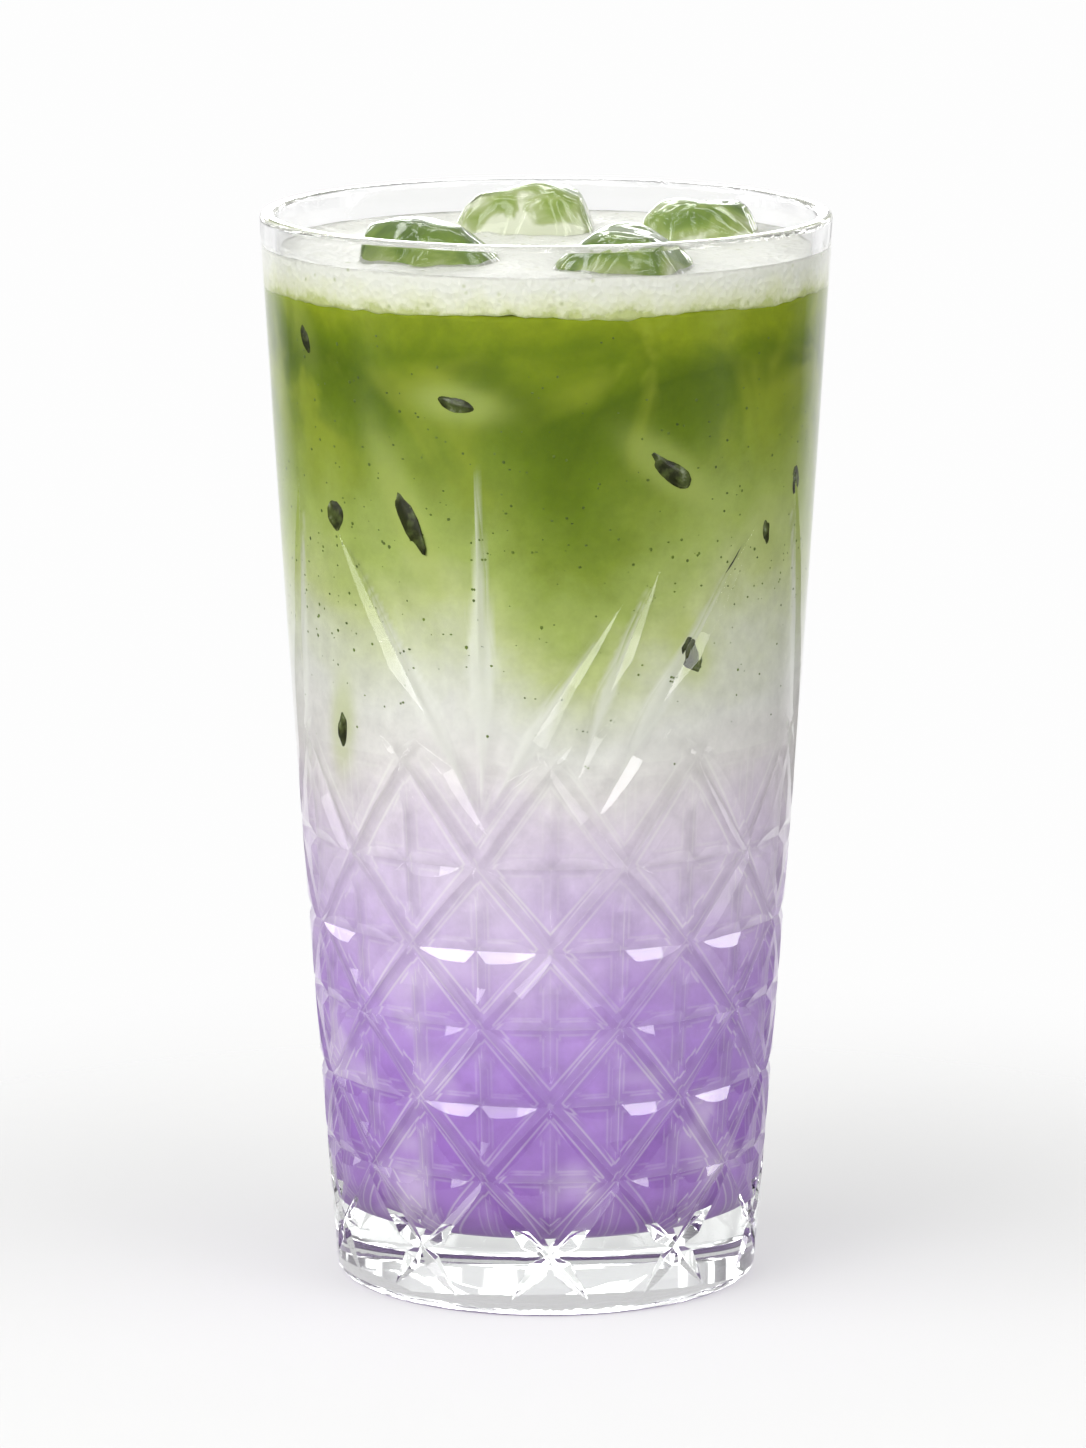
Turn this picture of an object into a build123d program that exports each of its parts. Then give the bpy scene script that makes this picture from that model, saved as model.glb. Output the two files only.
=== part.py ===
from build123d import *
import math
import os

os.makedirs("parts", exist_ok=True)

# A tall, tapering pressed-glass tumbler filled with a layered iced latte:
# lavender milk at the bottom, plain milk, matcha, a layer of froth, and four
# melting ice cubes that float through the froth. Millimetres, +Z up, with the
# origin in the middle of the base. The front of the glass faces -Y.

# Glass
height = 155.2              # foot to lip
rim_radius = 41.0           # outside of the wall at the lip
base_radius = 30.4          # outside of the wall where it would meet the table
wall_swell = 0.45           # how far the wall bows out of a straight taper
lip_wall = 2.4              # wall thickness at the lip
foot_wall = 3.4             # wall thickness at the inside floor
floor_thickness = 10.5      # the heavy base
inner_corner = 9.0          # radius where the inside wall meets the floor
foot_rounding = 1.7         # outside edge of the base
lip_rounding = 0.9          # both edges of the lip

# Cut pattern. Every groove is a V, open outwards, whose floor rises to the
# surface at its pointed ends. Ten columns of crossing grooves climb from the
# base; crossings on odd rows stand half a column round from those on even rows.
columns = 10
pattern_turn = 1.0          # degrees by which the pattern sits right of the front
crossing_levels = [9.5, 20.1, 31.4, 42.8, 54.2, 66.3, 81.3]
proud = 0.6                 # how far the cutters stand out of the surface
crossing_groove = {"width": 3.3, "depth": 0.75}
cell_groove = {"width": 2.9, "depth": 0.55, "shoulder": 0.68}
cell_reach = {"up": 0.70, "across": 0.79}   # of the way to the next crossing
crown_groove = {"width": 1.5, "depth": 0.45, "up": 3.2, "across": 4.6}

# Stars at the base: each arm's run round the glass in degrees, and its rise.
star_arms = {
    "upper": {"across": 10.3, "up": 4.3, "width": 3.2, "depth": 0.8, "widest": 0.55},
    "lower": {"across": 9.2, "up": -6.2, "width": 2.8, "depth": 0.8, "widest": 0.35},
}

# Spears that fan out above the crossings, on the front and again behind:
# foot angle, foot level, tip angle, tip level, width.
spears = [
    (-16.0, 73.0, -47.0, 109.0, 4.8),
    (-16.0, 73.0, -16.0, 124.0, 5.2),
    (-16.0, 73.0, 12.0, 101.5, 4.2),
    (6.0, 79.5, 23.0, 108.5, 3.6),
    (12.0, 75.5, 44.5, 109.5, 4.6),
    (-80.0, 70.0, -66.0, 117.5, 4.6),
    (84.0, 70.0, 65.0, 117.5, 4.6),
]
spear_depth = 0.7
spear_widest = 0.42         # of the way from foot to tip

# Drink, from the lip down
headspace = 4.8             # lip to the top of the froth
froth_depth = 5.4
matcha_depth = 47.0
milk_depth = 32.0           # lavender fills what is left above the floor

# Ice cubes. They crowd the mouth of the glass, so their places and widths are
# shares of the radius there; what they rise above the froth, and how tall they
# are, is in millimetres. Each is turned about the upright axis, then tipped.
ice_wall_gap = 1.0          # smallest distance from a cube to the glass
ice_taper = 7.0             # degrees by which a melted cube narrows upwards
ice_rounding = 0.17         # melted edges, as a share of a cube's narrow width
ice_cubes = {
    "ice_left": {"place": (-0.44, -0.28), "widths": (0.58, 0.52), "tall": 19.0,
                 "rise": 5.2, "turn": 24.0, "tip": (7.0, -6.0)},
    "ice_back": {"place": (-0.13, 0.56), "widths": (0.52, 0.44), "tall": 20.0,
                 "rise": 6.6, "turn": -12.0, "tip": (4.0, 17.0)},
    "ice_front": {"place": (0.27, -0.56), "widths": (0.50, 0.50), "tall": 18.0,
                  "rise": 5.4, "turn": -28.0, "tip": (6.0, 9.0)},
    "ice_right": {"place": (0.56, 0.35), "widths": (0.52, 0.46), "tall": 18.0,
                  "rise": 5.0, "turn": 14.0, "tip": (-5.0, 8.0)},
}

foam_top = height - headspace
matcha_top = foam_top - froth_depth
milk_top = matcha_top - matcha_depth
lavender_top = milk_top - milk_depth
inner_lip_radius = rim_radius - lip_wall


def taper_radius(level):
    """Outside radius of the bowed wall at a level, from the circle that it follows."""
    lean = rim_radius - base_radius
    chord = math.hypot(lean, height)
    bow_radius = (chord ** 2 / 4 + wall_swell ** 2) / (2 * wall_swell)
    sunk = bow_radius - wall_swell
    centre_x = (rim_radius + base_radius) / 2 - sunk * height / chord
    centre_z = height / 2 + sunk * lean / chord
    return centre_x + math.sqrt(bow_radius ** 2 - (level - centre_z) ** 2)


inner_floor_radius = taper_radius(floor_thickness) - foot_wall


def turned(section):
    """The solid swept by a face in the XZ plane as it turns about Z."""
    return revolve(Plane.XZ * section, Axis.Z)


def outside_section():
    wall_middle = (taper_radius(height / 2), height / 2)
    return make_face([
        Line((0, 0), (base_radius, 0)),
        ThreePointArc((base_radius, 0), wall_middle, (rim_radius, height)),
        Line((rim_radius, height), (0, height)),
        Line((0, height), (0, 0)),
    ])


def inside_section():
    middle = (floor_thickness + height) / 2
    straight_middle = (inner_floor_radius + inner_lip_radius) / 2
    return make_face([
        Line((0, floor_thickness), (inner_floor_radius, floor_thickness)),
        ThreePointArc((inner_floor_radius, floor_thickness),
                      (straight_middle + wall_swell, middle),
                      (inner_lip_radius, height)),
        Line((inner_lip_radius, height), (0, height)),
        Line((0, height), (0, floor_thickness)),
    ])


def tumbler_inside():
    cavity = turned(inside_section())
    floor_edge = cavity.edges().filter_by(GeomType.CIRCLE).sort_by(Axis.Z)[0]
    return fillet(floor_edge, inner_corner)


def tumbler():
    section = outside_section() - inside_section()
    lip_corners = section.vertices().group_by(Axis.Y)[-1]
    glass = turned(fillet(lip_corners, lip_rounding))
    foot_edge = glass.edges().filter_by(GeomType.CIRCLE).sort_by(Axis.Z)[0]
    glass = fillet(foot_edge, foot_rounding)
    floor_edge = glass.edges().filter_by(GeomType.CIRCLE).sort_by(
        lambda edge: abs(edge.center().Z - floor_thickness))[0]
    return fillet(floor_edge, inner_corner)


def on_wall(angle, level, offset=0.0):
    """A point by its angle from the front, its level and its offset out of the wall."""
    reach = taper_radius(level) + offset
    turn = math.radians(angle + pattern_turn)
    return Vector(reach * math.sin(turn), -reach * math.cos(turn), level)


def panels(corners):
    """One flat face on four corners, or two triangles where they aren't in a plane."""
    a, b, c, d = corners
    normal = (b - a).cross(c - a).normalized()
    if abs(normal.dot(d - a)) < 1e-6:
        return [Face(Wire.make_polygon(corners, close=True))]
    return [Face(Wire.make_polygon(three, close=True)) for three in ([a, b, c], [a, c, d])]


def groove(start, stations, end, depth):
    """A cutter for a V groove between two points on the wall, given as (angle, level).

    Each station is (share of the way, half width); the floor lies at the full
    depth from the first station to the last."""
    stretch = 1 + proud / depth
    run = math.radians(end[0] - start[0]) * taper_radius((start[1] + end[1]) / 2)
    rise = end[1] - start[1]
    length = math.hypot(run, rise)
    across = (rise / length, -run / length)

    def spot(share, sideways, offset):
        level = start[1] + share * rise + sideways * across[1]
        angle = start[0] + share * (end[0] - start[0])
        angle += math.degrees(sideways * across[0] / taper_radius(level))
        return on_wall(angle, level, offset)

    first, last = stations[0][0], stations[-1][0]
    tips = (spot(first - first * stretch, 0, proud),
            spot(last + (1 - last) * stretch, 0, proud))
    floor = [spot(share, 0, -depth) for share, _ in stations]
    left = [spot(share, half * stretch, proud) for share, half in stations]
    right = [spot(share, -half * stretch, proud) for share, half in stations]
    faces = []
    for tip, i in ((tips[0], 0), (tips[1], -1)):
        for edge in ([floor[i], left[i]], [floor[i], right[i]], [left[i], right[i]]):
            faces.append(Face(Wire.make_polygon(edge + [tip], close=True)))
    for i in range(len(stations) - 1):
        for one, two in ((floor, left), (floor, right), (left, right)):
            faces += panels([one[i], one[i + 1], two[i + 1], two[i]])
    return Solid(Shell(faces))


def leaf(start, end, width, depth, widest=0.5):
    """A groove with one widest place between its two pointed ends."""
    return groove(start, [(widest, width / 2)], end, depth)


def lattice_cutters():
    step = 360 / columns
    rows = list(enumerate(crossing_levels))
    size = crossing_groove
    cutters = []
    for column in range(columns):
        for row, level in rows[:-1]:
            angle = (column + 0.5 * (row % 2)) * step
            for side in (-1, 1):
                above = (angle + side * step / 2, crossing_levels[row + 1])
                cutters.append(leaf((angle, level), above, size["width"], size["depth"]))
        for row, level in rows[1:-1]:
            centre = (column + 0.5 * ((row + 1) % 2)) * step
            cutters += cell_cutters(centre, level, crossing_levels[row - 1],
                                    crossing_levels[row + 1], step / 2)
        top_row, top_level = rows[-1]
        angle = (column + 0.5 * (top_row % 2)) * step
        for side in (-1, 1):
            tip = (angle + side * crown_groove["across"], top_level + crown_groove["up"])
            cutters.append(leaf((angle, top_level), tip,
                                crown_groove["width"], crown_groove["depth"]))
    return cutters


def cell_cutters(angle, level, level_below, level_above, half_step):
    """The upright and the level groove that cross in the middle of a diamond."""
    half = cell_groove["width"] / 2
    shoulder = cell_groove["shoulder"]
    down = cell_reach["up"] * (level - level_below)
    up = cell_reach["up"] * (level_above - level)
    middle = down / (down + up)
    upright = [(middle - middle * shoulder, half), (middle + (1 - middle) * shoulder, half)]
    round_about = [((1 - shoulder) / 2, half), (0.5, half), ((1 + shoulder) / 2, half)]
    reach = cell_reach["across"] * half_step
    return [
        groove((angle, level - down), upright, (angle, level + up), cell_groove["depth"]),
        groove((angle - reach, level), round_about, (angle + reach, level),
               cell_groove["depth"]),
    ]


def star_cutters():
    level = crossing_levels[0]
    cutters = []
    for column in range(columns):
        angle = column * 360 / columns
        for arm in star_arms.values():
            for side in (-1, 1):
                tip = (angle + side * arm["across"], level + arm["up"])
                cutters.append(leaf((angle, level), tip, arm["width"], arm["depth"],
                                    arm["widest"]))
    return cutters


def spear_cutters():
    cutters = []
    for half_turn in (0, 180):
        for foot_angle, foot_level, tip_angle, tip_level, width in spears:
            stations = [(spear_widest / 2, width / 3), (spear_widest, width / 2),
                        ((1 + spear_widest) / 2, width / 3.6)]
            cutters.append(groove((foot_angle + half_turn, foot_level), stations,
                                  (tip_angle + half_turn, tip_level), spear_depth))
    return cutters


def slab(bottom, top):
    """Everything inside the rim's radius between two levels."""
    return Pos(0, 0, (bottom + top) / 2) * Cylinder(rim_radius, top - bottom)


def ice_cube(spec, mouth_radius):
    long_width, short_width = (share * mouth_radius for share in spec["widths"])
    rounding = ice_rounding * short_width
    plan = RectangleRounded(long_width, short_width, 1.6 * rounding)
    cube = extrude(plan, amount=spec["tall"], taper=ice_taper)
    cube = fillet(cube.edges().group_by(Axis.Z)[-1], rounding)
    cube = fillet(cube.edges().group_by(Axis.Z)[0], rounding)
    tip_x, tip_y = spec["tip"]
    cube = Rot(tip_x, tip_y, 0) * Rot(0, 0, spec["turn"]) * cube
    lift = foam_top + spec["rise"] - cube.bounding_box().max.Z
    share_x, share_y = spec["place"]
    return Pos(share_x * mouth_radius, share_y * mouth_radius, lift) * cube


def mouth_radius_at(level, cavity):
    """Inside radius of the glass at a level."""
    ring = (cavity & slab(level - 0.05, level)).bounding_box()
    return ring.size.X / 2


def main():
    cavity = tumbler_inside()
    mouth_radius = mouth_radius_at(foam_top, cavity) - ice_wall_gap
    ice = {name: ice_cube(spec, mouth_radius) for name, spec in ice_cubes.items()}

    levels = {
        "lavender_layer": (floor_thickness, lavender_top),
        "milk_layer": (lavender_top, milk_top),
        "matcha_layer": (milk_top, matcha_top),
        "foam_layer": (matcha_top, foam_top),
    }
    cutters = lattice_cutters() + star_cutters() + spear_cutters()
    parts = {"glass": tumbler().cut(*cutters)}
    for name, (bottom, top) in levels.items():
        layer = cavity & slab(bottom, top)
        for cube in ice.values():
            if cube.bounding_box().min.Z < top:
                layer = layer - cube
        parts[name] = layer
    parts.update(ice)

    for name, solid in parts.items():
        export_step(solid, f"parts/{name}.step")


main()
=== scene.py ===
import math
import random
import bmesh
import bpy
from mathutils import Matrix, Vector, noise


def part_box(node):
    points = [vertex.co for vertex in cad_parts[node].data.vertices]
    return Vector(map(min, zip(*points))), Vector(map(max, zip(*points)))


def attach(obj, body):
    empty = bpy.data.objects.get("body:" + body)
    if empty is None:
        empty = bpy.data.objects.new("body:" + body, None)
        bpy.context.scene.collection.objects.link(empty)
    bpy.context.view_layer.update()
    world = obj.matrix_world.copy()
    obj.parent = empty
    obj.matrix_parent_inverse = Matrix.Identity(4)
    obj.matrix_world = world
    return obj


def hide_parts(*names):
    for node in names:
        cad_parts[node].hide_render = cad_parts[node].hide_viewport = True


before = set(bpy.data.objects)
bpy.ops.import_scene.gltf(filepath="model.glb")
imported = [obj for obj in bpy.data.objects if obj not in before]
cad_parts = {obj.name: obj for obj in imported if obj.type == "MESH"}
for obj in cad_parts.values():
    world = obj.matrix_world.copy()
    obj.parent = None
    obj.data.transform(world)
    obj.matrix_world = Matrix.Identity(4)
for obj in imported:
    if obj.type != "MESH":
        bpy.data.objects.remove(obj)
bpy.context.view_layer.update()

mm = 0.001
bumpDepth = 0.3 * mm
random.seed(7)


# small helpers

def linear(hexColour):
    # a screen colour "rrggbb" as the linear colour that a shader takes
    out = []
    for i in (0, 2, 4):
        v = int(hexColour[i:i + 2], 16) / 255
        out.append(v / 12.92 if v <= 0.04045 else ((v + 0.055) / 1.055) ** 2.4)
    return (out[0], out[1], out[2], 1.0)


def newMaterial(name):
    mat = bpy.data.materials.new(name)
    mat.use_nodes = True
    mat.node_tree.nodes.clear()
    return mat, mat.node_tree


def addNode(tree, kind, inputs=None, **settings):
    # an input is a plain value or the socket that feeds it
    node = tree.nodes.new(kind)
    for key, value in settings.items():
        setattr(node, key, value)
    for key, value in (inputs or {}).items():
        if isinstance(value, bpy.types.NodeSocket):
            tree.links.new(value, node.inputs[key])
        else:
            node.inputs[key].default_value = value
    return node


def mathNode(tree, operation, *values):
    return addNode(tree, "ShaderNodeMath", dict(enumerate(values)), operation=operation).outputs[0]


def mapRange(tree, value, fromMin, fromMax, toMin=0.0, toMax=1.0, smooth=False):
    node = addNode(tree, "ShaderNodeMapRange", {
        "Value": value, "From Min": fromMin, "From Max": fromMax, "To Min": toMin, "To Max": toMax})
    if smooth:
        node.interpolation_type = "SMOOTHSTEP"
    return node.outputs[0]


def rampNode(tree, value, stops):
    # stops are (place, screen colour or grey level)
    node = addNode(tree, "ShaderNodeValToRGB", {0: value})
    ramp = node.color_ramp
    while len(ramp.elements) > 1:
        ramp.elements.remove(ramp.elements[-1])
    for i, (place, tone) in enumerate(stops):
        stop = ramp.elements.new(place) if i else ramp.elements[0]
        stop.position = place
        stop.color = linear(tone) if isinstance(tone, str) else (tone, tone, tone, 1)
    return node.outputs["Color"]


def noiseNode(tree, where, settings):
    return addNode(tree, "ShaderNodeTexNoise", {"Vector": where, **settings}).outputs["Fac"]


def mixColour(tree, amount, colour, other):
    return addNode(tree, "ShaderNodeMix", {"Factor": amount, "A": colour, "B": linear(other)},
                   data_type="RGBA").outputs["Result"]


def scaleColour(tree, colour, amount):
    return addNode(tree, "ShaderNodeVectorMath", {0: colour, "Scale": amount}, operation="SCALE").outputs[0]


def splitAxes(tree, vector):
    return addNode(tree, "ShaderNodeSeparateXYZ", {0: vector}).outputs


def objectPlace(tree):
    return addNode(tree, "ShaderNodeTexCoord").outputs["Object"]


def pointValue(tree, name):
    return addNode(tree, "ShaderNodeAttribute", attribute_name=name).outputs["Fac"]


def bumpNode(tree, height, strength):
    return addNode(tree, "ShaderNodeBump", {
        "Height": height, "Strength": strength, "Distance": bumpDepth}).outputs[0]


def finishMaterial(tree, inputs, volume=None):
    shader = addNode(tree, "ShaderNodeBsdfPrincipled", inputs)
    out = addNode(tree, "ShaderNodeOutputMaterial", {"Surface": shader.outputs[0]})
    if volume:
        tree.links.new(volume.outputs[0], out.inputs["Volume"])


def finishPiece(name, bm, material, smooth=True):
    bmesh.ops.recalc_face_normals(bm, faces=bm.faces)
    mesh = bpy.data.meshes.new(name)
    bm.to_mesh(mesh)
    bm.free()
    piece = bpy.data.objects.new(name, mesh)
    bpy.context.scene.collection.objects.link(piece)
    mesh.materials.append(material)
    for face in mesh.polygons:
        face.use_smooth = smooth
    return piece


def spinProfile(bm, points, steps):
    # points are (radius, level) from the axis out and back to the axis
    verts = [bm.verts.new((r, 0, z)) for r, z in points]
    edges = [bm.edges.new(pair) for pair in zip(verts, verts[1:])]
    bmesh.ops.spin(bm, geom=verts + edges, cent=(0, 0, 0), axis=(0, 0, 1),
                   angle=2 * math.pi, steps=steps, use_merge=True)
    bmesh.ops.remove_doubles(bm, verts=bm.verts, dist=1e-6)


# what the frame says about the inside of the glass

def insideOfGlass():
    # level and inside radius at the top of each layer
    marks = []
    for node in ("lavender_layer", "milk_layer", "matcha_layer"):
        low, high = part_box(node)
        marks.append((high.z, (high.x - low.x) / 2))
    return marks


wallMarks = insideOfGlass()
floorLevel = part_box("lavender_layer")[0].z
frothBottom, frothTop = [corner.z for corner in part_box("foam_layer")]


def wallRadius(level):
    # inside radius of the glass: the curve through the three marks
    total = 0
    for i, (zi, ri) in enumerate(wallMarks):
        share = 1
        for j, (zj, _) in enumerate(wallMarks):
            if j != i:
                share *= (level - zj) / (zi - zj)
        total += ri * share
    return total


def wallPoint(angle, level, out=0.0):
    # angle in degrees from the front, to the right
    turn = math.radians(angle)
    reach = wallRadius(level) + out
    return Vector((reach * math.sin(turn), -reach * math.cos(turn), level))


def wallPlace(angle, level, out):
    # the matrix that stands a shape on the wall, its Y axis along the radius
    return Matrix.Translation(wallPoint(angle, level, out)) @ Matrix.Rotation(math.radians(angle), 4, "Z")


# the glass

glassLook = {
    "softEdge": 0.22,       # how round the cut edges look, mm
    "tint": (0.78, 0.84, 0.80, 1),
    "density": 6.0,
}


def glassMaterial():
    mat, tree = newMaterial("clearGlass")
    softEdges = addNode(tree, "ShaderNodeBevel", {"Radius": glassLook["softEdge"] * mm}, samples=4)
    tint = addNode(tree, "ShaderNodeVolumeAbsorption", {
        "Color": glassLook["tint"], "Density": glassLook["density"]})
    finishMaterial(tree, {"Base Color": (1, 1, 1, 1), "Roughness": 0.0, "IOR": 1.5,
                          "Transmission Weight": 1.0, "Normal": softEdges.outputs[0]}, tint)
    return mat


# ice that touches the wall under the surface

sunkIce = [
    # angle, level mm, width mm, height mm, tilt degrees, halo strength
    (-19.2, 132.7, 5.6, 2.4, -6, 0.6),
    (-32.0, 117.0, 2.8, 12.0, 24, 0.5),
    (-53.0, 115.5, 3.6, 5.0, 10, 0.2),
    (-60.5, 140.0, 2.4, 5.0, 20, 0.2),
    (27.2, 123.2, 8.6, 3.2, -38, 0.5),
    (34.4, 96.8, 3.4, 6.2, 24, 0.5),
    (-54.9, 84.4, 2.4, 6.4, -8, 0.5),
    (56.4, 112.6, 1.8, 4.2, 5, 0.3),
    (68.5, 119.3, 2.4, 5.0, 0, 0.3),
]
windowLook = {
    "thick": 0.84, "inward": 0.1,           # mm
    "uneven": 0.28, "unevenScale": 1.3,
    "haloSpread": 1.7, "haloEnd": 20,       # how far the pale rim round each reaches, mm
    "streaks": {"Scale": 500.0, "Detail": 3.0},
    # painted shade: dark colours for the shade seen through the clear ice
    "stops": [(0.42, "2c3014"), (0.6, "566032"), (0.74, "9aa283")],
}


def windowMaterial():
    mat, tree = newMaterial("darkIceWindow")
    # painted shade: the sunk ice takes the dark seen through it as its colour, with paler streaks
    streaks = noiseNode(tree, objectPlace(tree), windowLook["streaks"])
    finishMaterial(tree, {"Base Color": rampNode(tree, streaks, windowLook["stops"]),
                          "Roughness": 0.2, "IOR": 1.31})
    return mat


def makeSunkIce(material):
    look = windowLook
    bm = bmesh.new()
    for i, (angle, level, width, height, tilt, strength) in enumerate(sunkIce):
        made = bmesh.ops.create_icosphere(bm, subdivisions=3, radius=1.0)["verts"]
        place = wallPlace(angle, level * mm, -look["inward"] * mm)
        place = place @ Matrix.Rotation(math.radians(-tilt), 4, "Y")
        for vert in made:
            p = vert.co.copy()
            seat = Vector((i * 4.0, 0, 0))
            p *= 1 + look["uneven"] * noise.noise(p * look["unevenScale"] + seat)
            p = Vector((p.x * width, p.y * look["thick"], p.z * height)) * (mm / 2)
            vert.co = place @ p
    return finishPiece("sunk_ice_windows", bm, material)


def haloAt(point):
    # how strongly the drink is paled round the sunk ice
    best = 0
    for angle, level, width, height, tilt, strength in sunkIce:
        away = point - wallPoint(angle, level * mm)
        if away.length > windowLook["haloEnd"] * mm:
            continue
        turn = math.radians(angle)
        side = away.x * math.cos(turn) + away.y * math.sin(turn)
        lean = math.radians(tilt)
        u = side * math.cos(lean) + away.z * math.sin(lean)
        v = -side * math.sin(lean) + away.z * math.cos(lean)
        reach = math.hypot(u / (width * mm / 2), v / (height * mm / 2))
        far = max(reach - 1, 0) * min(width, height) * mm / 2
        best = max(best, strength * math.exp(-(far / (windowLook["haloSpread"] * mm)) ** 2))
    return best


# light that the cuts gather on the drink, painted into its colour

latticeLook = {
    "columns": 10,
    "turn": 1.0,            # degrees right of the front
    "levels": [9.5, 20.1, 31.4, 42.8, 54.2, 66.3, 81.3],
    "slanted": 15.4,        # mm from line to line, slanted lines, uprights and level ones
    "upright": 20.5,
    "level": 22.5,
    "reach": 3.2,           # how far from its line a cut shows, mm
    "clear": (1.8, 2.8),    # mm from the slanted lines where the straight ones begin
    "top": (84, 80),        # levels between which the lattice fades in, mm
    # (share of the reach, grey level)
    "slantedLines": [(0, 1.0), (0.04, 0.3), (0.08, 0.1), (0.42, 0.08), (0.47, 0.9), (0.52, 0.7), (0.58, 0)],
    "straightLines": [(0, 0.9), (0.04, 0.2), (0.36, 0.04), (0.41, 0.4), (0.46, 0.35), (0.52, 0)],
    "gather": 0.4,          # how strongly the lattice lights the drink
}


def latticeLight(tree, x, y, z):
    # columns are counted round the glass, rows up it
    look = latticeLook
    angle = mathNode(tree, "ARCTAN2", x, mathNode(tree, "MULTIPLY", y, -1.0))
    turned = mathNode(tree, "SUBTRACT", angle, math.radians(look["turn"]))
    column = mathNode(tree, "MULTIPLY", turned, look["columns"] / (2 * math.pi))
    first, last = look["levels"][0], look["levels"][-1]
    count = len(look["levels"]) - 1
    rows = rampNode(tree, mapRange(tree, z, first * mm, last * mm),
                    [((level - first) / (last - first), row / count)
                     for row, level in enumerate(look["levels"])])
    halfRow = mathNode(tree, "MULTIPLY", rows, count / 2)

    def farFrom(value, every, scale):
        # distance in mm to the nearest whole multiple of every
        return mathNode(tree, "MULTIPLY", mathNode(tree, "PINGPONG", value, every / 2), scale)

    rising = farFrom(mathNode(tree, "SUBTRACT", column, halfRow), 1.0, look["slanted"])
    falling = farFrom(mathNode(tree, "ADD", column, halfRow), 1.0, look["slanted"])
    slanted = mathNode(tree, "MINIMUM", rising, falling)
    straight = mathNode(tree, "MINIMUM", farFrom(column, 0.5, look["upright"]),
                        farFrom(halfRow, 0.5, look["level"]))
    slantedLines = rampNode(tree, mathNode(tree, "DIVIDE", slanted, look["reach"]), look["slantedLines"])
    straightLines = rampNode(tree, mathNode(tree, "DIVIDE", straight, look["reach"]), look["straightLines"])
    straightLines = mathNode(tree, "MULTIPLY", straightLines, mapRange(tree, slanted, *look["clear"]))
    both = mathNode(tree, "MAXIMUM", slantedLines, straightLines)
    fadeFrom, fadeTo = look["top"]
    return mathNode(tree, "MULTIPLY", both, mapRange(tree, z, fadeFrom * mm, fadeTo * mm))


spearCuts = [
    # foot angle and level, tip angle and level, width
    (-15.0, 73.0, -46.0, 109.0, 4.8),
    (-15.0, 73.0, -15.0, 124.0, 5.2),
    (-15.0, 73.0, 13.0, 101.5, 4.2),
    (7.0, 79.5, 24.0, 108.5, 3.6),
    (13.0, 75.5, 45.5, 109.5, 4.6),
    (-79.0, 70.0, -65.0, 117.5, 4.6),
    (85.0, 70.0, 66.0, 117.5, 4.6),
]
spearLook = {
    "widest": 0.42,         # where along a spear it is widest
    "soft": 0.7,            # width of its soft edge, mm
    "levels": (68, 126),
    "side": 92,             # degrees past which the front's fan is repeated behind
    "gather": 0.64,         # how strongly the spears light the drink
}


# painted light: how much light a spear would gather is painted on the drink here
def gleamAt(point):
    level = point.z / mm
    lowest, highest = spearLook["levels"]
    if level < lowest or level > highest:
        return 0
    radius = math.hypot(point.x, point.y) / mm
    angle = math.degrees(math.atan2(point.x, -point.y))
    if abs(angle) > spearLook["side"]:
        angle -= math.copysign(180, angle)
    widest = spearLook["widest"]
    best = 0
    for footAngle, footLevel, tipAngle, tipLevel, width in spearCuts:
        run = math.radians(tipAngle - footAngle) * radius
        rise = tipLevel - footLevel
        across = math.radians(angle - footAngle) * radius
        up = level - footLevel
        length = math.hypot(run, rise)
        along = (across * run + up * rise) / length ** 2
        if along < 0 or along > 1:
            continue
        aside = abs(across * rise - up * run) / length
        half = width / 2 * min(along / widest, (1 - along) / (1 - widest))
        best = max(best, min(max((half - aside) / spearLook["soft"], 0), 1))
    return best


# the drink

wallReach = 0.12 * mm       # how far the drink goes into the glass
drinkSize = {
    "corner": 9.0,          # rounding at the floor, mm
    "intoFroth": 0.2,       # mm
    "floorSteps": 10, "cornerSteps": 8, "wallSteps": 140, "turnSteps": 288,
}
drinkLook = {
    # level in mm above the table, screen colour there
    "stops": [(10, "9a6cc0"), (18, "a075c5"), (27, "a379c8"), (36, "ae8ad0"), (45, "b898d5"),
              (53, "c5add9"), (62, "d1c2dc"), (71, "dad0dd"), (79, "dfdbda"), (88, "e0e0da"),
              (95, "d5d8c4"), (100, "cad0aa"), (104, "c0c98f"), (112, "a9b965"), (122, "889b39"),
              (130, "6c831a"), (136, "5b720c"), (140, "6f8510"), (145, "8e9f1c")],
    "read": (10, 146),      # the levels that the colours are spread over, mm
    "swirl": 26,            # how far the clouds lift and lower the colours, mm
    "clouds": {"Scale": 38.0, "Detail": 5.0, "Roughness": 0.55, "Distortion": 0.6},
    "mottle": {"Scale": 260.0, "Detail": 7.0, "Roughness": 0.75},
    "mottleRange": (0.3, 0.7, 0.88, 1.1),
    # pale clouds low down: their noise, from how much noise to how much cloud, levels in mm
    "milk": {"noise": {"Scale": 75.0, "Detail": 2.0, "Roughness": 0.4, "Distortion": 0.3},
             "amounts": (0.56, 0.74, 0.0, 0.6), "levels": (70, 50), "colour": "dccbe8"},
    # bright clouds high up, the same
    "glow": {"noise": {"Scale": 46.0, "Detail": 3.0, "Roughness": 0.5, "Distortion": 0.8},
             "amounts": (0.5, 0.66, 0.0, 0.55), "levels": (112, 132), "colour": "adb93c"},
    "halo": "b9c66e",       # round the sunk ice
    "lit": "f0f1ea",        # where the cuts gather light
}
tongueLook = {
    # the tongue of tea that sinks in the middle, mm
    "deep": 10, "wide": 13, "aside": 0.15, "liftLeft": 4, "liftRight": 1.5,
    "drift": 7, "driftScale": (60, 60, 22),
    "centre": 108, "spread": 26,
}


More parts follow.
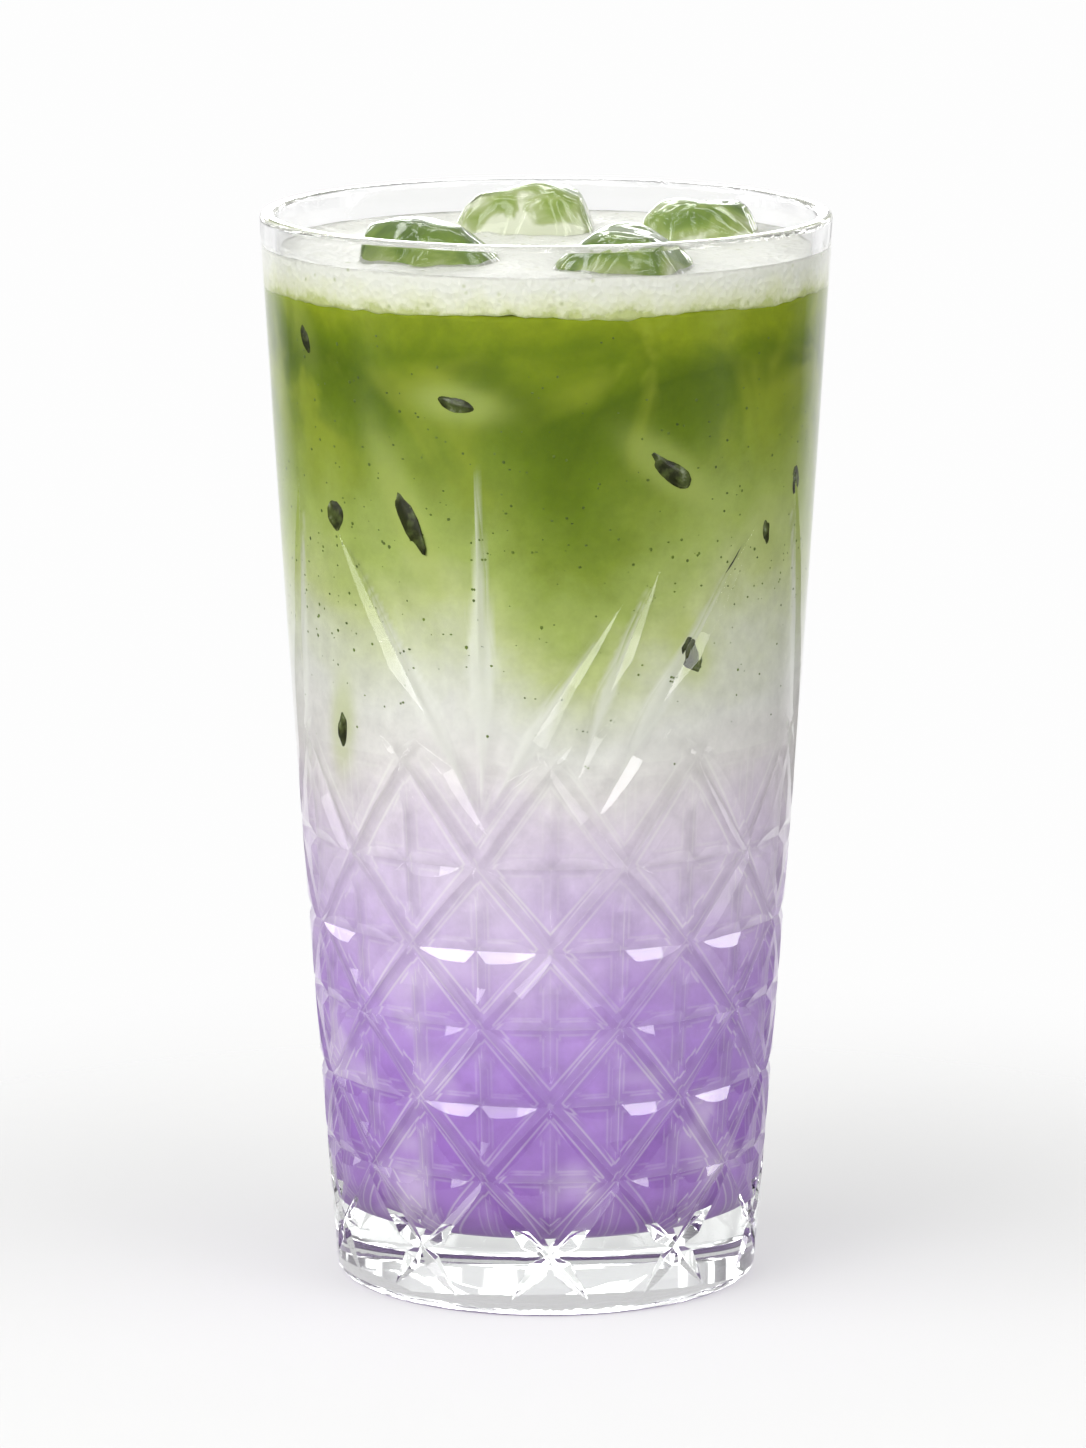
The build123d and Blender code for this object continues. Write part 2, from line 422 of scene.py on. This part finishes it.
def addClouds(tree, drift, clouds, z, colour):
    start, full = clouds["levels"]
    amount = mathNode(tree, "MULTIPLY", mapRange(tree, drift, *clouds["amounts"], smooth=True),
                      mapRange(tree, z, start * mm, full * mm))
    return mixColour(tree, amount, colour, clouds["colour"])


def drinkMaterial():
    mat, tree = newMaterial("layeredMilkTea")
    look = drinkLook
    where = objectPlace(tree)
    x, y, z = splitAxes(tree, where)
    swirl = mathNode(tree, "SUBTRACT", noiseNode(tree, where, look["clouds"]), 0.5)
    level = mathNode(tree, "ADD", z, mathNode(tree, "MULTIPLY", swirl, look["swirl"] * mm))
    level = mathNode(tree, "ADD", level, pointValue(tree, "sink"))
    low, high = look["read"]
    colour = rampNode(tree, mapRange(tree, level, low * mm, high * mm),
                      [((stop - low) / (high - low), tone) for stop, tone in look["stops"]])
    mottle = noiseNode(tree, where, look["mottle"])
    colour = scaleColour(tree, colour, mapRange(tree, mottle, *look["mottleRange"]))
    milk = noiseNode(tree, where, look["milk"]["noise"])
    colour = addClouds(tree, milk, look["milk"], z, colour)
    glow = noiseNode(tree, where, look["glow"]["noise"])
    colour = addClouds(tree, glow, look["glow"], z, colour)
    colour = mixColour(tree, pointValue(tree, "halo"), colour, look["halo"])
    # the milk's clouds break up the lattice's painted light
    lattice = mathNode(tree, "MULTIPLY", latticeLight(tree, x, y, z), mathNode(tree, "MULTIPLY", milk, 2.0))
    # painted light: under the spears and the lattice the drink's colour is mixed towards a pale lit tone
    cuts = mathNode(tree, "MAXIMUM",
                    mathNode(tree, "MULTIPLY", pointValue(tree, "gleam"), spearLook["gather"]),
                    mathNode(tree, "MULTIPLY", lattice, latticeLook["gather"]))
    finishMaterial(tree, {"Base Color": mixColour(tree, cuts, colour, look["lit"]),
                          "Roughness": 0.45, "Specular IOR Level": 0.2, "IOR": 1.34})
    return mat


def sinkAt(point):
    # how much higher the colours are read here
    look = tongueLook
    across = point.x / (look["wide"] * mm)
    tongue = look["deep"] * mm * math.exp(-(across - look["aside"]) ** 2)
    tongue -= (look["liftLeft"] if point.x < 0 else look["liftRight"]) * mm * min(abs(across), 1)
    spot = Vector([value * scale for value, scale in zip(point, look["driftScale"])])
    drift = noise.noise(spot) * look["drift"] * mm
    middle = math.exp(-((point.z - look["centre"] * mm) / (look["spread"] * mm)) ** 2)
    return (tongue + drift) * middle


def makeDrink(material):
    size = drinkSize
    bm = bmesh.new()
    corner = size["corner"] * mm
    floorRadius = wallRadius(floorLevel + corner) + wallReach - corner
    bottom = floorLevel - wallReach
    points = [(0, bottom)]
    for i in range(1, size["floorSteps"]):
        points.append((floorRadius * i / size["floorSteps"], bottom))
    for i in range(size["cornerSteps"] + 1):
        turn = math.radians(90 * i / size["cornerSteps"])
        points.append((floorRadius + corner * math.sin(turn), bottom + corner * (1 - math.cos(turn))))
    start = floorLevel + corner
    end = frothBottom + size["intoFroth"] * mm
    for i in range(1, size["wallSteps"] + 1):
        level = start + (end - start) * i / size["wallSteps"]
        points.append((wallRadius(level) + wallReach, level))
    points.append((0, end))
    spinProfile(bm, points, size["turnSteps"])
    piece = finishPiece("layered_drink", bm, material)
    for name, valueAt in (("halo", haloAt), ("sink", sinkAt), ("gleam", gleamAt)):
        values = piece.data.attributes.new(name, "FLOAT", "POINT").data
        for vert, item in zip(piece.data.vertices, values):
            item.value = valueAt(vert.co)
    return piece


# the froth

frothSize = {
    "seat": 0.03,           # further into the glass than the drink, mm
    "floorSteps": 6, "wallSteps": 14, "topSteps": 46, "turnSteps": 256,
    # height of the lumps in mm and how fine they are, on the top and on the underside
    "topLumps": [(0.45, 160), (0.25, 420)],
    "underLumps": [(0.7, 60), (0.35, 500)],
    "below": 0.5,           # how far under the full height the top lies, mm
    "edge": 0.93,           # share of the radius where the top turns up to the wall
    "edgeRise": 0.2,        # mm
    "topShare": 0.97, "underShare": 0.6,
}
frothLook = {
    "bubbles": 950.0,       # fineness of the bubbles
    "patches": {"Scale": 240.0, "Detail": 5.0, "Roughness": 0.65},
    "uneven": (1.2, -0.62),         # the patches' noise times this, plus this
    "stops": [(0.0, "c6cf88"), (0.14, "e2e6bd"), (0.4, "f0f2da"), (0.8, "f3f4ea")],
    "burst": 0.82,          # bubbles above this share have burst
    "pit": (0.42, 0.1, 0.0, 0.55),  # from how far off a bubble's centre to how much tea shows
    "tea": "aab56a",
    # painted shade on the faces that look up
    "paintedTopShade": (0.4, 0.9, 1.0, 0.82),        # from how level a face is to how bright
    "bump": 0.8,
}


def frothMaterial():
    mat, tree = newMaterial("paleFroth")
    look = frothLook
    where = objectPlace(tree)
    height = mapRange(tree, splitAxes(tree, where)["Z"], frothBottom, frothTop)
    uneven = mathNode(tree, "MULTIPLY_ADD", noiseNode(tree, where, look["patches"]), *look["uneven"])
    colour = rampNode(tree, mathNode(tree, "ADD", height, uneven), look["stops"])
    # some bubbles have burst and show the tea
    bubbles = addNode(tree, "ShaderNodeTexVoronoi", {"Vector": where, "Scale": look["bubbles"]})
    burst = mathNode(tree, "GREATER_THAN", bubbles.outputs["Color"], look["burst"])
    centre = mapRange(tree, bubbles.outputs["Distance"], *look["pit"])
    colour = mixColour(tree, mathNode(tree, "MULTIPLY", burst, centre), colour, look["tea"])
    # painted shade: faces that look up are painted a little darker
    facing = addNode(tree, "ShaderNodeNewGeometry").outputs["True Normal"]
    colour = scaleColour(tree, colour, mapRange(tree, splitAxes(tree, facing)["Z"], *look["paintedTopShade"]))
    finishMaterial(tree, {"Base Color": colour, "Roughness": 0.45,
                          "Normal": bumpNode(tree, bubbles.outputs["Distance"], look["bump"])})
    return mat


def lumpsAt(where, lumps):
    return sum(noise.noise(where * scale) * height for height, scale in lumps)


def makeFroth(material):
    size = frothSize
    bm = bmesh.new()
    outer = wallReach + size["seat"] * mm
    points = [(0, frothBottom)]
    for i in range(1, size["floorSteps"]):
        points.append((wallRadius(frothBottom) * i / size["floorSteps"], frothBottom))
    for i in range(size["wallSteps"] + 1):
        level = frothBottom + (frothTop - frothBottom) * i / size["wallSteps"]
        points.append((wallRadius(level) + outer, level))
    for i in range(1, size["topSteps"]):
        points.append((wallRadius(frothTop) * (1 - i / size["topSteps"]), frothTop))
    points.append((0, frothTop))
    spinProfile(bm, points, size["turnSteps"])
    for vert in bm.verts:
        radius = math.hypot(vert.co.x, vert.co.y)
        share = (vert.co.z - frothBottom) / (frothTop - frothBottom)
        where = Vector((vert.co.x, vert.co.y, 0))
        if share > size["topShare"]:
            edge = max(0, radius / wallRadius(frothTop) - size["edge"]) / (1 - size["edge"])
            lumps = lumpsAt(where, size["topLumps"]) - size["below"]
            vert.co.z += (lumps * (1 - edge) + size["edgeRise"] * edge) * mm
        elif share < size["underShare"]:
            vert.co.z += lumpsAt(where, size["underLumps"]) * mm * (1 - share / size["underShare"])
    return finishPiece("froth", bm, material)


# the ice that sticks out of the froth

iceLook = {
    # how frosted each cube is inside, and the seed of its melted shape
    "ice_left": (-0.06, 3),
    "ice_back": (0.22, 11),
    "ice_front": (-0.02, 6),
    "ice_right": (0.08, 19),
}
iceShape = {
    # of a cube from -1 to 1
    "cuts": 9, "cutAt": (1.0, 1.18), "merge": 0.06, "bevel": 0.16, "longest": 0.16,
    "splits": 4, "smoothings": 5,
    "bend": 0.12, "bendScale": 1.1, "ball": 1.12, "ballShare": 0.38, "narrow": 0.2,
}
coreLook = {
    "size": 0.93,           # of the cube round it
    # frost gathers low down: mm above the froth where it starts, mm to the most, that, the least share
    "frostFrom": 2.2, "frostOver": 2.5, "frostMost": 0.16, "frostLeast": -0.4,
    "patches": {"Scale": 150.0, "Detail": 4.0, "Distortion": 0.9},
    "stops": [(0.34, "4f6a14"), (0.5, "6c8828"), (0.62, "8aa044"), (0.74, "a9b778"), (0.84, "dde2c6")],
}


def iceMaterial():
    mat, tree = newMaterial("wetIce")
    ripples = noiseNode(tree, objectPlace(tree), {"Scale": 260.0, "Detail": 2.0})
    finishMaterial(tree, {"Base Color": (1, 1, 1, 1), "Roughness": 0.02, "IOR": 1.31,
                          "Transmission Weight": 1.0, "Normal": bumpNode(tree, ripples, 0.25)})
    return mat


def iceCoreMaterial():
    # the tea seen through the ice, with frosted patches
    mat, tree = newMaterial("teaUnderIce")
    patches = noiseNode(tree, objectPlace(tree), coreLook["patches"])
    total = mathNode(tree, "ADD", patches, pointValue(tree, "frost"))
    finishMaterial(tree, {"Base Color": rampNode(tree, total, coreLook["stops"]), "Roughness": 0.35})
    return mat


def makeIceShape(seed):
    # a cube with its corners melted to facets, then rounded
    shape = iceShape
    rng = random.Random(seed)
    bm = bmesh.new()
    bmesh.ops.create_cube(bm, size=2)
    for i in range(shape["cuts"]):
        normal = Vector((rng.uniform(-1, 1), rng.uniform(-1, 1), rng.uniform(-0.5, 1))).normalized()
        bmesh.ops.bisect_plane(bm, geom=bm.verts[:] + bm.edges[:] + bm.faces[:],
                               plane_co=normal * rng.uniform(*shape["cutAt"]), plane_no=normal,
                               clear_outer=True)
        rim = [e for e in bm.edges if e.is_boundary]
        if rim:
            bmesh.ops.holes_fill(bm, edges=rim, sides=0)
    bmesh.ops.remove_doubles(bm, verts=bm.verts, dist=shape["merge"])
    bmesh.ops.bevel(bm, geom=bm.edges[:], offset=shape["bevel"], affect="EDGES", segments=2,
                    profile=0.5, material=-1, clamp_overlap=True)
    bmesh.ops.triangulate(bm, faces=bm.faces)
    for i in range(shape["splits"]):
        long = [e for e in bm.edges if e.calc_length() > shape["longest"]]
        bmesh.ops.subdivide_edges(bm, edges=long, cuts=1)
        bmesh.ops.triangulate(bm, faces=bm.faces)
    for i in range(shape["smoothings"]):
        bmesh.ops.smooth_vert(bm, verts=bm.verts, factor=0.5, use_axis_x=True,
                              use_axis_y=True, use_axis_z=True)
    for vert in bm.verts:
        p = vert.co.copy()
        bend = noise.noise(p * shape["bendScale"] + Vector((seed * 3, 0, 0))) * shape["bend"]
        ball = p.normalized() * shape["ball"]
        p = p.lerp(ball, shape["ballShare"]) * (1 + bend)
        narrow = 1 - shape["narrow"] * max(0, p.z) ** 2
        vert.co = Vector((p.x * narrow, p.y * narrow, p.z))
    return bm


def fitToBox(bm, low, high):
    for axis in range(3):
        values = [v.co[axis] for v in bm.verts]
        least, most = min(values), max(values)
        for vert in bm.verts:
            share = (vert.co[axis] - least) / (most - least)
            vert.co[axis] = low[axis] + share * (high[axis] - low[axis])


def makeIce(node, material, coreMaterial):
    low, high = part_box(node)
    frostiness, seed = iceLook[node]
    bm = makeIceShape(seed)
    fitToBox(bm, low, high)
    lump = finishPiece(node.replace("ice_", "ice_lump_"), bm, material)
    bm = makeIceShape(seed)
    middle = (low + high) / 2
    fitToBox(bm, middle + (low - middle) * coreLook["size"], middle + (high - middle) * coreLook["size"])
    core = finishPiece(node.replace("ice_", "ice_core_"), bm, coreMaterial)
    frost = core.data.attributes.new("frost", "FLOAT", "POINT").data
    for vert, item in zip(core.data.vertices, frost):
        depth = (frothTop + coreLook["frostFrom"] * mm - vert.co.z) / (coreLook["frostOver"] * mm)
        item.value = frostiness + coreLook["frostMost"] * min(max(depth, coreLook["frostLeast"]), 1)
    return lump, core


# specks of tea against the wall

speckSize = {
    "count": 900,
    "levels": (80, 144, 112),       # lowest, highest and most common, mm
    "radius": (0.1, 0.32),          # mm
    "stretch": (0.6, 1.2),
    "thick": 0.08, "inward": 0.03,  # mm
}


def speckMaterial():
    mat, tree = newMaterial("teaSpecks")
    shade = noiseNode(tree, objectPlace(tree), {"Scale": 300.0})
    finishMaterial(tree, {"Base Color": rampNode(tree, shade, [(0.3, "43580e"), (0.7, "6f8524")]),
                          "Roughness": 0.6})
    return mat


def makeSpecks(material):
    size = speckSize
    bm = bmesh.new()
    for i in range(size["count"]):
        angle = random.uniform(-180, 180)
        level = random.triangular(*size["levels"]) * mm
        made = bmesh.ops.create_icosphere(bm, subdivisions=1, radius=1.0)["verts"]
        radius = random.uniform(*size["radius"]) * mm
        place = wallPlace(angle, level, wallReach - size["inward"] * mm)
        shape = Matrix.Diagonal((radius, size["thick"] * mm, radius * random.uniform(*size["stretch"]), 1))
        bmesh.ops.transform(bm, matrix=place @ shape, verts=made)
    return finishPiece("tea_specks", bm, material)


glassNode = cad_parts["glass"]
glassNode.data.materials.clear()
glassNode.data.materials.append(glassMaterial())
print("glass done")

drink = makeDrink(drinkMaterial())
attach(drink, "root")
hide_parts("lavender_layer", "milk_layer", "matcha_layer")
print("drink done")

froth = makeFroth(frothMaterial())
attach(froth, "root")
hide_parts("foam_layer")
print("froth done")

ice = iceMaterial()
iceCore = iceCoreMaterial()
for node in iceLook:
    lump, core = makeIce(node, ice, iceCore)
    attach(lump, "root")
    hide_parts(node)
    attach(core, "root")
windows = makeSunkIce(windowMaterial())
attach(windows, "root")
print("ice done")

specks = makeSpecks(speckMaterial())
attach(specks, "root")
print("specks done")


# floor, light and camera

floorLook = {
    "colour": (0.5, 0.5, 0.495, 1),
    "glow": 0.42,           # what the floor shows of its own, without lighting the glass
    "fade": (0.07, 0.2),    # m from the glass where the floor turns clear
    "radius": 0.5,
}


def makeFloor():
    mat, tree = newMaterial("paleFloor")
    matt = addNode(tree, "ShaderNodeBsdfDiffuse", {"Color": floorLook["colour"]})
    path = addNode(tree, "ShaderNodeLightPath").outputs
    seen = mathNode(tree, "MAXIMUM", path["Is Camera Ray"], path["Is Glossy Ray"])
    seen = mathNode(tree, "MAXIMUM", seen, path["Is Transmission Ray"])
    glow = addNode(tree, "ShaderNodeEmission", {
        "Color": (1, 1, 1, 1), "Strength": mathNode(tree, "MULTIPLY", seen, floorLook["glow"])})
    both = addNode(tree, "ShaderNodeAddShader", {0: matt.outputs[0], 1: glow.outputs[0]})
    clear = addNode(tree, "ShaderNodeBsdfTransparent")
    far = addNode(tree, "ShaderNodeVectorMath", {0: objectPlace(tree)}, operation="LENGTH")
    fade = mapRange(tree, far.outputs["Value"], *floorLook["fade"], smooth=True)
    mix = addNode(tree, "ShaderNodeMixShader", {0: fade, 1: both.outputs[0], 2: clear.outputs[0]})
    addNode(tree, "ShaderNodeOutputMaterial", {"Surface": mix.outputs[0]})
    bm = bmesh.new()
    bmesh.ops.create_circle(bm, cap_ends=True, segments=64, radius=floorLook["radius"])
    floor = finishPiece("floor", bm, mat, smooth=False)


roomLook = {
    # what glass bends to and mirrors: (0 front to 1 behind, grey level)
    "greys": [(0.0, 0.10), (0.25, 0.04), (0.40, 0.30), (0.5, 0.05), (0.70, 0.06), (0.83, 0.25),
              (0.92, 1.0)],
    "boxNoise": {"Scale": 6.5, "Detail": 1.0},
    "boxes": (0.5, 0.66, 0.0, 9.0),     # where the noise makes a soft box, and its strength
    "horizon": (-0.08, 0.05),
    "fill": 0.12,
    # direction, inner and outer cosine of the cone, strength of its light
    "cones": [((-0.80, -0.58, 0.12), 0.88, 0.5, 2.8),
              ((0.86, -0.48, 0.10), 0.90, 0.55, 1.9),
              ((0.0, 0.1, 1.0), 0.9, 0.5, 0.45)],
    "backdrop": (0.985, 0.985, 0.985, 1),
}


def makeWorld():
    world = bpy.data.worlds.new("studio")
    bpy.context.scene.world = world
    world.use_nodes = True
    tree = world.node_tree
    tree.nodes.clear()
    look = roomLook
    direction = addNode(tree, "ShaderNodeTexCoord").outputs["Generated"]
    axes = splitAxes(tree, direction)
    path = addNode(tree, "ShaderNodeLightPath").outputs
    # light from a few broad, soft directions
    total = look["fill"]
    for towards, inner, outer, strength in look["cones"]:
        near = addNode(tree, "ShaderNodeVectorMath", {0: direction, 1: Vector(towards).normalized()},
                       operation="DOT_PRODUCT").outputs["Value"]
        cone = mapRange(tree, near, outer, inner, 0.0, strength, smooth=True)
        total = mathNode(tree, "ADD", cone, total)
    fill = addNode(tree, "ShaderNodeBackground", {"Color": (1.0, 1.0, 1.0, 1), "Strength": total})
    # the room that glass and gloss show, with soft boxes that only gloss mirrors
    greys = rampNode(tree, mapRange(tree, axes["Y"], -1.0, 1.0), look["greys"])
    boxes = mapRange(tree, noiseNode(tree, direction, look["boxNoise"]), *look["boxes"], smooth=True)
    boxes = mathNode(tree, "MULTIPLY", boxes, mapRange(tree, axes["Z"], *look["horizon"]))
    boxes = mathNode(tree, "MULTIPLY", boxes, path["Is Glossy Ray"])
    roomLight = addNode(tree, "ShaderNodeVectorMath", {0: greys, 1: boxes}, operation="ADD")
    room = addNode(tree, "ShaderNodeBackground", {"Color": roomLight.outputs[0], "Strength": 1.0})
    # matt surfaces, and what they see through glass, are lit by the fill
    mirrored = mathNode(tree, "MAXIMUM", path["Is Glossy Ray"], path["Is Transmission Ray"])
    direct = mathNode(tree, "LESS_THAN", path["Diffuse Depth"], 0.5)
    roomOrFill = addNode(tree, "ShaderNodeMixShader", {
        0: mathNode(tree, "MULTIPLY", mirrored, direct), 1: fill.outputs[0], 2: room.outputs[0]})
    white = addNode(tree, "ShaderNodeBackground", {"Color": look["backdrop"], "Strength": 1.0})
    mix = addNode(tree, "ShaderNodeMixShader", {
        0: path["Is Camera Ray"], 1: roomOrFill.outputs[0], 2: white.outputs[0]})
    addNode(tree, "ShaderNodeOutputWorld", {"Surface": mix.outputs[0]})


lampLook = {
    # place, size and power
    "leftSoftbox": ((-0.62, -0.78, 0.45), (0.4, 0.5), 2.4),
    "rightSoftbox": ((0.72, -0.62, 0.42), (0.4, 0.5), 1.4),
}
lampTarget = Vector((0, 0, 0.08))


def addLamp(name, place, size, power):
    data = bpy.data.lights.new(name, "AREA")
    data.shape = "RECTANGLE"
    data.size, data.size_y = size
    data.energy = power
    lamp = bpy.data.objects.new(name, data)
    bpy.context.scene.collection.objects.link(lamp)
    lamp.location = place
    lamp.rotation_euler = (lampTarget - Vector(place)).to_track_quat("-Z", "Y").to_euler()


cameraLook = {"distance": 1.086, "height": 0.2887, "pitch": 10.85, "lens": 190.1, "aside": -0.00047}


def makeCamera():
    data = bpy.data.cameras.new("camera")
    data.sensor_width = 36
    data.lens = cameraLook["lens"]
    camera = bpy.data.objects.new("camera", data)
    bpy.context.scene.collection.objects.link(camera)
    camera.location = (cameraLook["aside"], -cameraLook["distance"], cameraLook["height"])
    camera.rotation_euler = (math.radians(90 - cameraLook["pitch"]), 0, 0)
    bpy.context.scene.camera = camera


makeFloor()
makeWorld()
for name, settings in lampLook.items():
    addLamp(name, *settings)
makeCamera()
bpy.context.scene.view_settings.view_transform = "Standard"

print("scene done")
